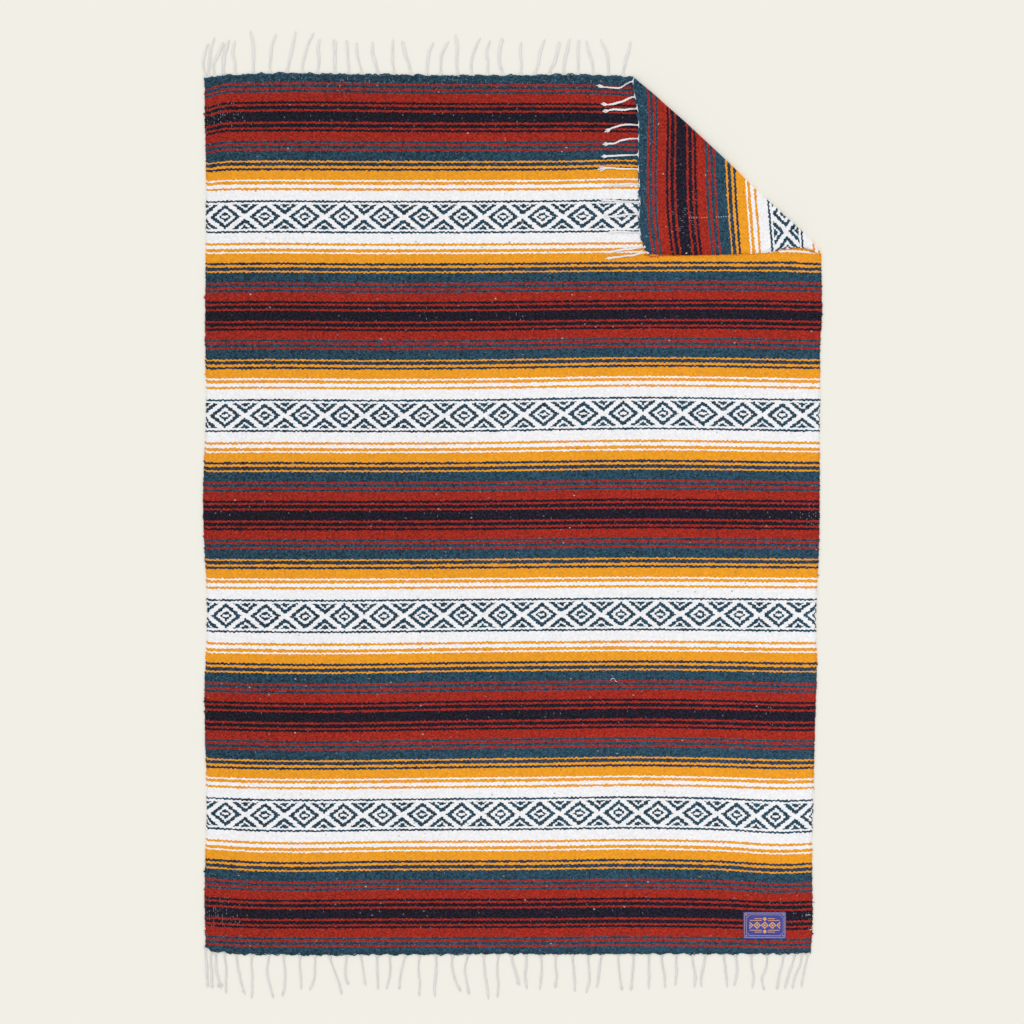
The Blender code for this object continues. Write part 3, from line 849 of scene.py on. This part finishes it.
def fringe(row):
    """All the cords of one row, with the warp threads that run into each and its frayed tip."""
    put, lift = row.put, row.lift
    draw = random.Random(row.seed)
    bm = bmesh.new()
    cord = yarn_template(CORD_STEPS)
    thread = yarn_template(8, 5)

    for strand in row.strands:
        root = strand.root * MM
        length = strand.long * MM

        def spot(share, sideways, high):
            middle = strand_middle(strand, share)
            ahead = middle - strand_middle(strand, share - 0.05)
            across = Vector((ahead.y, -ahead.x)).normalized()
            flat = middle + across * sideways
            place = past_end(row.end, root + flat.x, ROOT_OUT + flat.y)
            return put(place, lift + high)

        wide = strand.wide * row.fluff * draw.uniform(0.85, 1.15) * MM
        ply = wide / PLY_RADII
        squash = STRAND_HEIGHT / wide
        tuft = strand.tuft * row.fray * MM
        spread = max(tuft * 1.15 / 2 - ply, 0.0)
        frayed_from = draw.uniform(0.66, 0.8)
        start_turn = draw.random()
        sway = uneven(draw, 1.0, 0.16, 0.7 * MM)
        swell = uneven(draw, 1.0, 0.2, 0.26)
        for number in range(PLIES):
            turn = start_turn + number / PLIES

            def path(share):
                share *= 1 - 0.06 * abs(number - 1)
                loose = ease((share - frayed_from) / (0.97 - frayed_from))
                angle = 2 * math.pi * (share * length / TWIST + turn)
                twined = PLY_OFF * ply * math.cos(angle) * (1 - loose)
                high = PLY_OFF * ply * math.sin(angle) * squash * (1 - 0.9 * loose)
                aside = (number - 1) * spread * loose
                return spot(share, twined + aside + sway(share), high)

            def radius(share):
                ends = (1 - 0.4 * ease((share - 0.9) / 0.1)) * (0.58 + 0.42 * ease(share / 0.45))
                return ply * (1 + swell(share)) * ends

            add_yarn(bm, cord, path, radius, min(1.0, squash + 0.1))

        for number in range(TIP_THREADS):
            off_middle = number / (TIP_THREADS - 1) * 2 - 1
            aside = off_middle * tuft * 0.55 + draw.uniform(-0.6, 0.6) * MM
            begin = draw.uniform(0.76, 0.86)
            finish = draw.uniform(0.95, 1.0) - 0.06 * off_middle ** 2
            high = draw.uniform(-0.3, 0.3) * MM

            def path(share):
                along = begin + (finish - begin) * share
                return spot(along, aside * ease(share * 0.8), high * share)

            add_yarn(bm, thread, path, lambda share: TIP_RADIUS * (1 - 0.5 * share))

        for number in range(ROOT_THREADS):
            from_root = number / (ROOT_THREADS - 1) * 2 - 1
            reach = row.before if from_root < 0 else row.after
            begin = from_root * reach * strand.foot * draw.uniform(0.7, 1.2) * MM
            meet = draw.uniform(*row.meet)
            high = draw.uniform(-0.4, 0.4) * MM

            def path(share):
                out = (row.start + (meet - row.start) * share ** row.bend) * MM
                aside = strand_middle(strand, max(out, 0.0) / length).x
                place = past_end(row.end, root + begin * (1 - share) ** 1.2 + aside, out)
                return put(place, lift * ease(share * 1.5) + row.over * MM * (1 - share) + high)

            add_yarn(bm, thread, path, lambda share: row.thread * MM)
    return bm


def cord_material(name, dull, clean):
    """Twisted white cotton, duller in some places than in others."""
    material, tree, shader = new_material(name, 0.95, 0.1)
    feed(shader["Base Color"], mix(grain(tree, 90.0), dull, clean))
    add_bump(shader, grain(tree, 1500.0), 0.3 * MM)
    return material


floor_lift = FLOOR_GAP + STRAND_HEIGHT / 2 - WALL / 2
# Over is how far the threads lie above the cloth's edge at first, before and after how far they
# come from on both sides of a root, start and meet how far out they leave the cloth and join the
# cord. All millimetres but lift. Fluff is how much wider a soft cord is than its core, fray how
# far its tip opens and bend how late its threads turn out. Dull and clean are its cotton's colours.
Row = namedtuple("Row", "name strands end put lift over fluff fray before after start meet bend "
                        "thread seed")
ROWS = [
    (Row("top", TOP_STRANDS, 1, lay_flat, floor_lift, 0.5, 1.5, 0.85, 3.8, 3.8, -0.8, (6, 12), 1.0,
         0.5, 31), dye(228, 225, 222), dye(239, 237, 235)),
    (Row("corner", CORNER_STRANDS, 1, lay, 0.0, -1.3, 1.06, 1.25, 10, 7, -1.6, (2.5, 5), 3.0,
         0.45, 32), dye(234, 233, 235), dye(247, 246, 248)),
    (Row("bottom", BOTTOM_STRANDS, 0, lay_flat, floor_lift, 0.5, 1.15, 0.75, 3.2, 3.2, -0.8,
         (6, 12), 1.0, 0.5, 33), dye(222, 219, 217), dye(233, 231, 229)),
]
for row, dull, clean in ROWS:
    cotton = cord_material("fringe cotton " + row.name, dull, clean)
    cords = add_piece("fringe_cords_" + row.name, fringe(row), cotton)
    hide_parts("fringe_" + row.name)


# --- Headings ---------------------------------------------------------------------------------
# The first and last picks, which the tied warp ends hold. Between two ties they swell out, so
# each end of the cloth has a lumpy teal edge like a loose rope.

HEADING_STEP = 1.6 * MM
# Out from the edge, radius and how far the yarn strays in and out, in millimetres, and a share of
# a turn.
Heading = namedtuple("Heading", "out thick lump turn")
HEADING_YARNS = table(Heading, [
    (-1.0, 1.15, 1.5, 0.0), (-2.4, 1.15, 1.1, 0.5), (-3.7, 1.1, 0.5, 0.25),
])
BOTTOM_IN = 1.2 * MM  # the bottom one is beaten in further
BULGE = 2.0 * MM  # from a tie to the middle between two ties
FULL_GAP = 24  # mm between two ties that lets the heading swell out in full
TWINE_ASIDE, TWINE_UP = 0.45 * MM, 0.26 * MM
TIES = [[strand.root for strand in BOTTOM_STRANDS],
        [strand.root for strand in TOP_STRANDS + CORNER_STRANDS]]


def bulge(ties, at):
    """How far the heading swells out between the two ties around a place, from its mean."""
    for tie, following in zip(ties, ties[1:]):
        if tie <= at <= following:
            share = (at - tie) / (following - tie)
            full = min((following - tie) / FULL_GAP, 1)
            return BULGE * full * (math.sin(math.pi * share) ** 2 - 0.5)
    return 0.0


def heading(end, seed):
    """Lumpy yarns twined along the top end (1) or the bottom end (0) of the cloth."""
    draw = random.Random(seed)
    bm = bmesh.new()
    layers = add_layers(bm)
    rows = bm.verts.layers.float_vector.new("place")
    steps = int(WIDTH_TOP / HEADING_STEP)
    template = yarn_template(steps, 8)
    away = 1 if end else -1
    for yarn in HEADING_YARNS:
        lumps = uneven(draw, WIDTH_TOP, 8.0 * MM, yarn.lump * MM)
        tufts = uneven(draw, WIDTH_TOP, 3.2 * MM, 0.4 * yarn.lump * MM)
        swell = uneven(draw, WIDTH_TOP, 4.5 * MM, 0.25)
        sway = uneven(draw, WIDTH_TOP, 9.0 * MM, 0.6 * MM)

        def path(share):
            place = on_cloth(share, end)
            at = share * WIDTH_TOP
            twine = 2 * math.pi * (at / (2 * WARP) + yarn.turn)
            drawn_in = 0.0 if end else BOTTOM_IN
            sideways = yarn.out * MM + lumps(at) + tufts(at) + TWINE_ASIDE * math.cos(twine)
            sideways += bulge(TIES[end], at / MM)
            place.y += away * (sideways - drawn_in)
            return lay(place, sway(at) * 0.25 + TWINE_UP * math.sin(twine))

        def radius(share):
            return yarn.thick * MM * (1 + swell(share * WIDTH_TOP))

        for vert, share in add_yarn(bm, template, path, radius, 0.75):
            vert[rows] = weft_place(share, end).to_3d()
    write_places(bm, layers, rows)
    return bm


for name, end, seed in (("heading_top", 1, 21), ("heading_bottom", 0, 22)):
    rope = add_piece(name, heading(end, seed), turning_yarn)


# --- Loose threads ----------------------------------------------------------------------------
# Ends of yarn that work out of a handwoven cloth: a white curl, frayed red along the turned
# corner's selvedge, and bits of warp at a small notch by the bottom right corner.

# Middle on the floor, way it runs, length, how far it bows, height and radius. Mm and degrees.
Bit = namedtuple("Bit", "x y turn long bow over thick", defaults=(0.55,))
FLAP_TOP = (2 * WALL + SEAM) / MM  # height of the turned corner's face, mm
WALL_TOP = WALL / MM
BITS = {
    "loose_white": (dye(244, 243, 244), [
        (197, -323, 12, 9, 3.5, WALL_TOP), (203.5, -324, -35, 5, -1.5, WALL_TOP),
        (581, -783.5, 4, 6, 0.8, WALL_TOP), (576, -783, 90, 4, 0.4, WALL_TOP),
        (585, -812, 12, 6, 0.6, WALL_TOP), (341, 512.7, 10, 3, 0.3, FLAP_TOP, 0.9),
        (287, 766, 60, 3, 0.4, FLAP_TOP), (259.4, 525.6, 75, 3.2, 0, FLAP_TOP - 0.6, 1.4),
        (266, 513, 10, 3.5, 0, FLAP_TOP - 0.6, 1.8),
    ]),
    "loose_orange": (dye(216, 138, 40), [
        (597, 517, 97, 6, 0.8, FLAP_TOP), (588, 514.5, -12, 14, 0.9, WALL_TOP + 1),
        (586.5, -808, 62, 5, 0.6, WALL_TOP),
    ]),
    "loose_yellow": (dye(214, 176, 72), [
        (301.5, 565.5, 22, 4, -0.8, FLAP_TOP), (285, 763.5, 40, 2.5, 0.3, FLAP_TOP),
        (526, -751.6, 15, 2.5, 0.3, WALL_TOP), (557.9, -745.5, -20, 2.5, 0.3, WALL_TOP),
    ]),
    "loose_navy": (dye(44, 50, 68), [
        (590, -758.8, 20, 5, 0.5, WALL_TOP), (590, 466, -30, 4, 0.4, WALL_TOP),
    ]),
    "loose_red": (dye(208, 54, 62), [
        (262, 509, 6, 9, 0.6, WALL_TOP, 0.7), (269, 507, -14, 8, 0.6, WALL_TOP, 0.8),
        (273.5, 505.6, 70, 4, 0.4, WALL_TOP, 0.8), (279, 507.2, 10, 8, -0.8, WALL_TOP, 0.8),
        (285.3, 505.6, 60, 5, 0.4, WALL_TOP, 0.9), (291, 507.8, -10, 9, 0.7, WALL_TOP, 0.8),
        (299, 508.2, 12, 8, 0.6, WALL_TOP, 0.8), (307, 508.2, -8, 9, 0.8, WALL_TOP, 0.7),
        (315, 508.6, 10, 8, -0.6, WALL_TOP, 0.7), (323, 508.4, -6, 9, -0.7, WALL_TOP, 0.7),
        (332, 509, 8, 9, 0.6, WALL_TOP, 0.7), (341, 509.2, -4, 8, 0.6, WALL_TOP, 0.7),
        (350, 509.8, 6, 9, 0.6, WALL_TOP, 0.65), (359, 510.2, -4, 8, 0.5, WALL_TOP, 0.65),
        (368, 510.6, 5, 9, 0.6, WALL_TOP, 0.65), (381, 511.6, -6, 8, 0.5, WALL_TOP, 0.6),
        (297.5, 566.5, 12, 5, 0.5, FLAP_TOP, 0.5),
    ]),
}


def loose_threads(bits):
    """Short curved ends of yarn lying on the cloth."""
    bm = bmesh.new()
    template = yarn_template(10, 5)
    for bit in bits:
        turn = math.radians(bit.turn)
        ahead = Vector((math.cos(turn), math.sin(turn), 0))
        aside = Vector((-ahead.y, ahead.x, 0))

        def path(share):
            run = (share - 0.5) * bit.long
            bend = bit.bow * (1 - (2 * share - 1) ** 2)
            up = bit.over + 0.2 + 0.7 * math.sin(math.pi * share)
            spot = Vector((bit.x, bit.y, up)) * MM + (ahead * run + aside * bend) * MM
            return spot + Vector((0, 0, rise(spot)))

        def radius(share):
            return bit.thick * MM * (1 - 0.4 * abs(2 * share - 1) ** 3)

        add_yarn(bm, template, path, radius)
    return bm


for name, (colour, bits) in BITS.items():
    material, _, shader = new_material(name.replace("_", " "), 0.95, 0.05)
    shader["Base Color"].default_value = colour
    ends = add_piece(name, loose_threads(table(Bit, bits)), material)


# --- Label ------------------------------------------------------------------------------------
# Small woven rectangle with a plain gold border and a row of diamonds, stitched down near the
# bottom right corner.

LABEL_MIDDLE = Vector((1097.5, 54.8)) * MM
LABEL_WIDTH = 84 * MM
LABEL_HEIGHT = 53 * MM
LABEL_WALL = 0.9 * MM
LABEL_COLUMNS = 84
LABEL_ROWS = 53


def label_mesh():
    """Thin closed pad, finely gridded, with soft edges."""
    bm = bmesh.new()
    weave = bm.loops.layers.uv.new("weave")
    bmesh.ops.create_grid(bm, x_segments=LABEL_COLUMNS, y_segments=LABEL_ROWS, size=0.5)
    for vert in bm.verts:
        vert.co = Vector((vert.co.x * LABEL_WIDTH, vert.co.y * LABEL_HEIGHT, 0))
    wall = bmesh.ops.extrude_face_region(bm, geom=bm.faces[:])
    top = {item for item in wall["geom"] if isinstance(item, bmesh.types.BMVert)}
    for face in bm.faces:
        for loop in face.loops:
            loop[weave].uv = loop.vert.co.xy + Vector((LABEL_WIDTH, LABEL_HEIGHT)) / 2
    for vert in bm.verts:
        flat = vert.co.xy
        edge = min(LABEL_WIDTH / 2 - abs(flat.x), LABEL_HEIGHT / 2 - abs(flat.y))
        puff = LABEL_WALL * (0.55 + 0.45 * ease(edge / (1.5 * MM)))
        base = WALL / 2 + SEAM
        vert.co = lay(LABEL_MIDDLE + flat, base + (puff if vert in top else 0))
    bmesh.ops.recalc_face_normals(bm, faces=bm.faces)
    return bm


LABEL_BLUE = dye(68, 74, 158)
LABEL_GOLD = dye(236, 172, 92)
BORDER_GOLD = dye(178, 156, 130)
LABEL_WARP, LABEL_PICK = 0.45 * MM, 0.4 * MM
# Half widths and half heights of the border's two lines.
OUTER_LINE = (39.5 * MM, 24 * MM)
INNER_LINE = (36 * MM, 20.5 * MM)
SCOOP = 5 * MM
RULES = [(9.6 * MM, 29 * MM), (13.2 * MM, 20 * MM)]  # how high, and how far out they end
RULES_FROM = 6 * MM


def box_distance(x, y, half_x, half_y, corner):
    """How far a point is outside a rectangle with round corners, negative inside."""
    out_x = abs(x) - (half_x - corner)
    out_y = abs(y) - (half_y - corner)
    past = (out_x.by("MAXIMUM", 0.0) ** 2.0 + out_y.by("MAXIMUM", 0.0) ** 2.0).by("SQRT")
    return past + out_x.by("MAXIMUM", out_y).by("MINIMUM", 0.0) - corner


def band(distance, middle, width):
    """Mask where a distance lies within a band."""
    return abs(distance - middle) < width / 2


def label_material():
    """Blue woven ground with a notched double border, a row of diamonds and thin rules."""
    material, tree, shader = new_material("label weave", 0.7, 0.05)
    place = node("UVMap", {}, tree=tree, uv_map="weave")
    fine = use_group(plain_weave, {"Place": place, "Warp": LABEL_WARP, "Pick": LABEL_PICK})
    # The weave can only turn a colour at a whole thread, so the drawing goes in small steps.
    x, y, _ = split(place)
    x = x.by("SNAP", LABEL_WARP) - LABEL_WIDTH / 2
    y = y.by("SNAP", LABEL_PICK) - LABEL_HEIGHT / 2
    off_x = abs(x)
    off_y = abs(y)
    # Border: an outer line, an inner one scooped out at its corners, and a dot in each scoop.
    outer = box_distance(x, y, *OUTER_LINE, 2 * MM)
    to_corner = ((off_x - INNER_LINE[0]) ** 2.0 + (off_y - INNER_LINE[1]) ** 2.0).by("SQRT")
    inner = box_distance(x, y, *INNER_LINE, 0.0).by("MAXIMUM", SCOOP - to_corner)
    border = band(outer, 0.0, 1.2 * MM).by("MAXIMUM", band(inner, 0.0, 1.0 * MM))
    border = border.by("MAXIMUM", to_corner < 1.6 * MM)
    # Row of diamonds side by side, each with a solid middle.
    steps = x.by("PINGPONG", 7.5 * MM) * 0.95 + off_y
    gold = band(steps, 5.9 * MM, 2.6 * MM).by("MAXIMUM", steps < 2.4 * MM) * (off_x < 30 * MM)
    # Thin rules above and below it, and a small diamond between the upper and lower pairs.
    for high, far in RULES:
        rule = band(off_y, high, 1.2 * MM) * (off_x < far) * (off_x > RULES_FROM)
        gold = gold.by("MAXIMUM", rule)
    gold = gold.by("MAXIMUM", off_x + abs(off_y - 12.2 * MM) < 4.2 * MM)
    yarn = use_group(uneven_cotton, {
        "Color": mix(gold, mix(border, LABEL_BLUE, BORDER_GOLD), LABEL_GOLD),
        "Place": place, "Bead": fine["Bead"], "Amount": 0.2,
    })
    feed(shader["Base Color"], yarn["Color"])
    add_bump(shader, border.by("MAXIMUM", gold) * 0.8 + fine["Relief"], 0.12 * MM)
    return material


label = add_piece("woven_label", label_mesh(), label_material())
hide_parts("label")


# --- Floor, light and camera ------------------------------------------------------------------
# Plain pale floor just under the cloth, soft even light, and a camera straight above.

FLOOR_SIZE = 8
FLOOR_DEPTH = 0.2 * MM

floor_paint, _, shader = new_material("floor paint", 1.0, 0.0, 0.0)
shader["Base Color"].default_value = dye(242, 240, 230)
bm = bmesh.new()
bmesh.ops.create_grid(bm, x_segments=1, y_segments=1, size=FLOOR_SIZE)
bmesh.ops.translate(bm, vec=(0, 0, -FLOOR_DEPTH), verts=bm.verts)
floor = new_object("floor", new_mesh("floor", bm))
floor.data.materials.append(floor_paint)

SKY = 0.9
SUN = 0.1
world = bpy.data.worlds.new("studio")
world.use_nodes = True
background = world.node_tree.nodes["Background"].inputs
background["Color"].default_value = (1, 1, 1, 1)
background["Strength"].default_value = SKY
bpy.context.scene.world = world

sun_from = Vector((-0.35, 0.75, 1.0)).normalized()
sun = bpy.data.lights.new("softbox", "SUN")
sun.energy = SUN * math.pi / sun_from.z
sun.angle = math.radians(25)
lamp = new_object("softbox", sun)
lamp.rotation_mode = "QUATERNION"
lamp.rotation_quaternion = sun_from.to_track_quat("Z", "Y")

VIEW_SIZE = 2007 * MM
VIEW_MIDDLE = Vector((-0.5, 6.2)) * MM
lens = bpy.data.cameras.new("camera")
lens.lens = 100
lens.sensor_width = 36
camera = new_object("camera", lens)
camera.location = (*VIEW_MIDDLE, VIEW_SIZE * lens.lens / lens.sensor_width)
bpy.context.scene.camera = camera
bpy.context.scene.view_settings.view_transform = "Standard"
